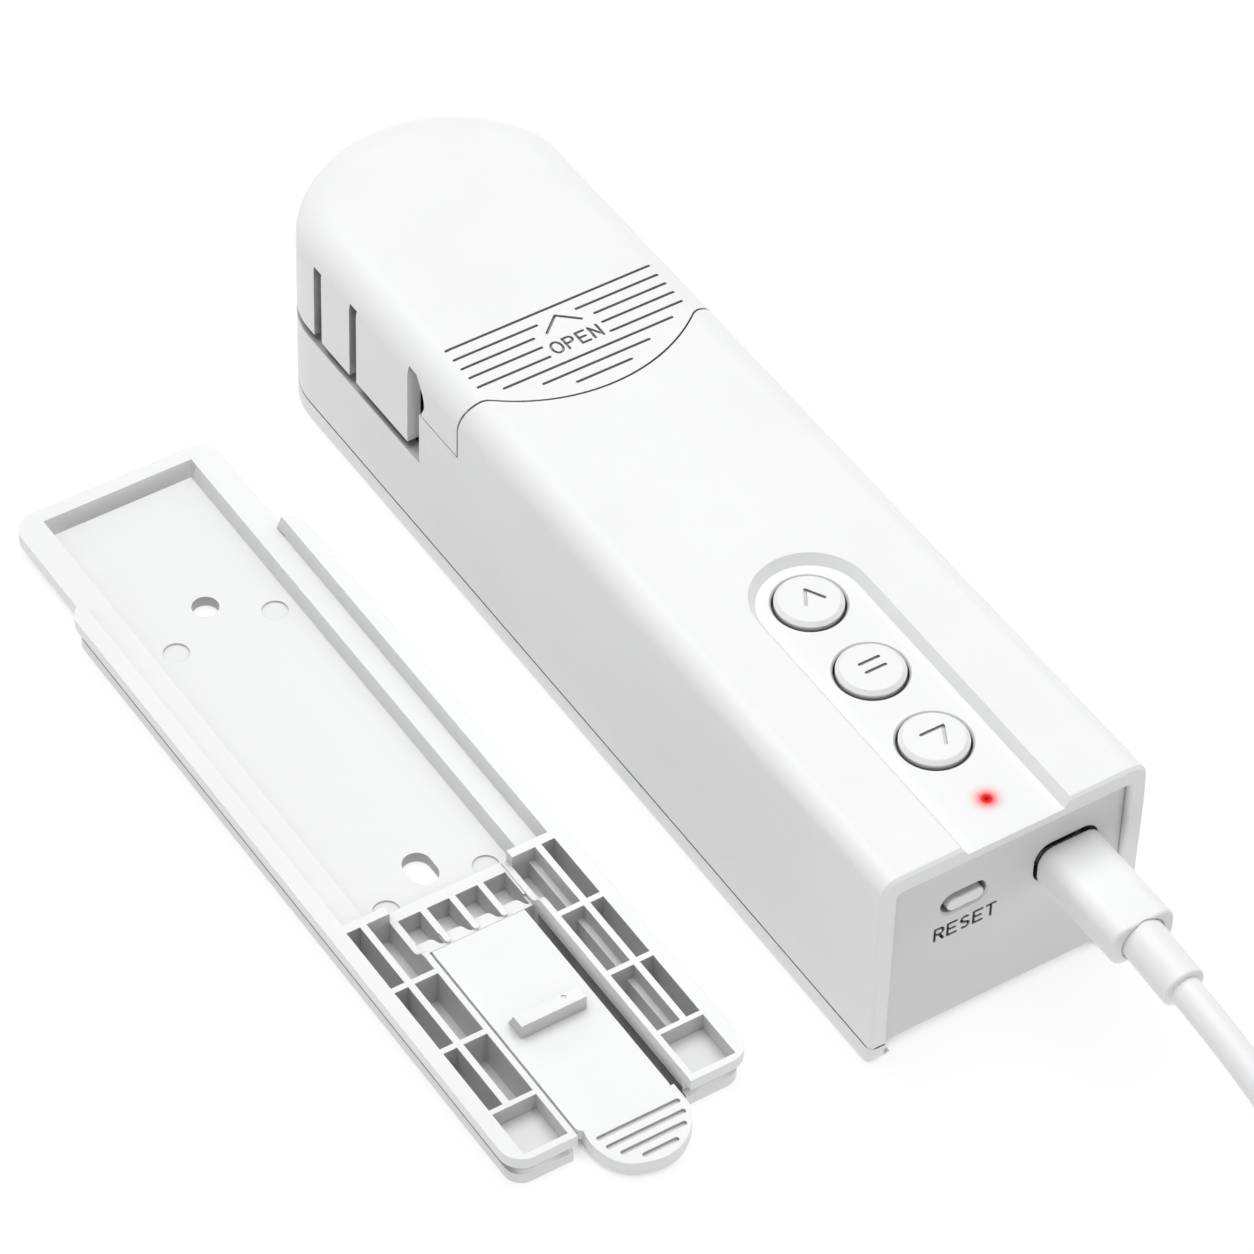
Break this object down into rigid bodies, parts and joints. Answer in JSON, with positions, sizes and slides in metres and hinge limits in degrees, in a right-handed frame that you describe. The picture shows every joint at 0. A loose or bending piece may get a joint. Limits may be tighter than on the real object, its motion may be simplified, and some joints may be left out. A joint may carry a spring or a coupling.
{
  "type": "roller blind motor",
  "caption": "Battery roller blind motor that drives a bead chain under a sliding end cover, with three round keys, a reset key, a slide-on wall bracket with a spring latch and a charging lead.",
  "frame": {"origin": "middle of the slide channel in the back face of the motor body, half way along the body, level with the surface that body and bracket lie on", "axes": "+X across the body, +Y along it from the charging port to the rounded chain wheel end, +Z out of the back through the face with the keys"},
  "size_m": [0.1525, 0.2791, 0.0364],
  "materials": {
    "white_shell": "fine satin moulded",
    "white_cover": "fine satin moulded",
    "white_panel": "fine matte moulded",
    "white_button": "satin gloss",
    "white_bracket": "fine matte moulded",
    "dark_inner": "matte",
    "gear_nylon": "natural nylon",
    "chain_wheel_black": "matte",
    "zinc_steel": "zinc plated",
    "motor_steel": "drawn steel",
    "bronze": "sintered",
    "pinion_brass": "machined",
    "board_green": "solder mask",
    "switch_black": "matte",
    "battery_wrap": "shrink wrap",
    "indicator_red": "lit red",
    "socket_steel": "nickel plated",
    "contact_black": "matte",
    "wire_insulation": "matte",
    "cable_white": "soft satin jacket"
  },
  "bodies": {
    "motor_body": {"main_housing": "white_shell", "back_shell": "white_shell", "end_panel": "white_panel", "gear_cover": "dark_inner", "gear_axles": "zinc_steel", "output_bushing": "bronze", "cover_screws": "zinc_steel", "housing_screws": "zinc_steel", "board_screws": "zinc_steel", "motor_screws": "zinc_steel", "motor_can": "motor_steel", "motor_end_bell": "switch_black", "circuit_board": "board_green", "switch_up": "switch_black", "switch_pause": "switch_black", "switch_down": "switch_black", "reset_switch": "switch_black", "control_chips": "contact_black", "indicator_led": "indicator_red", "led_light_pipe": "indicator_red", "charging_socket": "socket_steel", "socket_tongue": "contact_black", "battery_pack": "battery_wrap", "battery_connector": "white_panel", "battery_leads": "wire_insulation", "motor_leads": "wire_insulation"},
    "cover": {"sliding_cover": "white_cover"},
    "up_key": {"button_up": "white_button", "plunger_up": "contact_black"},
    "pause_key": {"button_pause": "white_button", "plunger_pause": "contact_black"},
    "down_key": {"button_down": "white_button", "plunger_down": "contact_black"},
    "reset_key": {"reset_button": "white_button", "reset_plunger": "contact_black"},
    "rotor": {"motor_shaft": "zinc_steel", "motor_pinion": "pinion_brass"},
    "gear_one": {"first_gear": "gear_nylon"},
    "gear_two": {"second_gear": "gear_nylon"},
    "output": {"output_gear": "gear_nylon", "output_shaft": "zinc_steel", "chain_wheel": "chain_wheel_black", "chain_wheel_screw": "zinc_steel"},
    "bracket": {"bracket_plate": "white_bracket"},
    "latch": {"latch_tongue": "white_bracket"},
    "charging_lead": {"plug_shell": "socket_steel", "plug_overmould": "cable_white", "plug_strain_relief": "cable_white", "cable_lead": "cable_white", "cable_coil": "cable_white", "cable_tail": "cable_white", "usb_a_overmould": "cable_white", "usb_a_shell": "socket_steel", "usb_a_tongue": "contact_black"}
  },
  "joints": [
    {"name": "cover_slide", "type": "slide", "parent": "motor_body", "child": "cover", "axis": [0, 1, 0], "range_m": [0, 0.066]},
    {"name": "up_press", "type": "slide", "parent": "motor_body", "child": "up_key", "axis": [0, 0, -1], "range_m": [0, 0.0005], "stiffness_N_per_m": 2500, "springref_m": -0.0004},
    {"name": "pause_press", "type": "slide", "parent": "motor_body", "child": "pause_key", "axis": [0, 0, -1], "range_m": [0, 0.0005], "stiffness_N_per_m": 2500, "springref_m": -0.0004},
    {"name": "down_press", "type": "slide", "parent": "motor_body", "child": "down_key", "axis": [0, 0, -1], "range_m": [0, 0.0005], "stiffness_N_per_m": 2500, "springref_m": -0.0004},
    {"name": "reset_press", "type": "slide", "parent": "motor_body", "child": "reset_key", "axis": [0, 1, 0], "range_m": [0, 0.0005], "stiffness_N_per_m": 2500, "springref_m": -0.0004},
    {"name": "chain_wheel_spin", "type": "hinge", "parent": "motor_body", "child": "output", "pos_m": [0, 0.062, 0.01], "axis": [0, 0, 1], "continuous": true},
    {"name": "second_gear_spin", "type": "hinge", "parent": "motor_body", "child": "gear_two", "pos_m": [0, 0.0428, 0.01], "axis": [0, 0, 1], "continuous": true},
    {"name": "first_gear_spin", "type": "hinge", "parent": "motor_body", "child": "gear_one", "pos_m": [0, 0.0223, 0.01], "axis": [0, 0, 1], "continuous": true},
    {"name": "motor_spin", "type": "hinge", "parent": "motor_body", "child": "rotor", "pos_m": [0, 0.0031, 0.01], "axis": [0, 0, 1], "continuous": true},
    {"name": "bracket_slide", "type": "slide", "parent": "motor_body", "child": "bracket", "axis": [0, 1, 0], "range_m": [-0.06, 0.06]},
    {"name": "latch_flex", "type": "hinge", "parent": "bracket", "child": "latch", "pos_m": [-0.0549, -0.03635, 0.0026], "axis": [1, 0, 0], "range_deg": [0, 1.3], "stiffness_Nm_per_rad": 15, "springref_deg": -0.29},
    {"name": "plug_pull", "type": "slide", "parent": "motor_body", "child": "charging_lead", "axis": [0, -1, 0], "range_m": [0, 0.012]}
  ],
  "couplings": [
    {"joint": "second_gear_spin", "follows": "chain_wheel_spin", "ratio": -2.2},
    {"joint": "first_gear_spin", "follows": "chain_wheel_spin", "ratio": 6.82},
    {"joint": "motor_spin", "follows": "chain_wheel_spin", "ratio": -25.916}
  ]
}
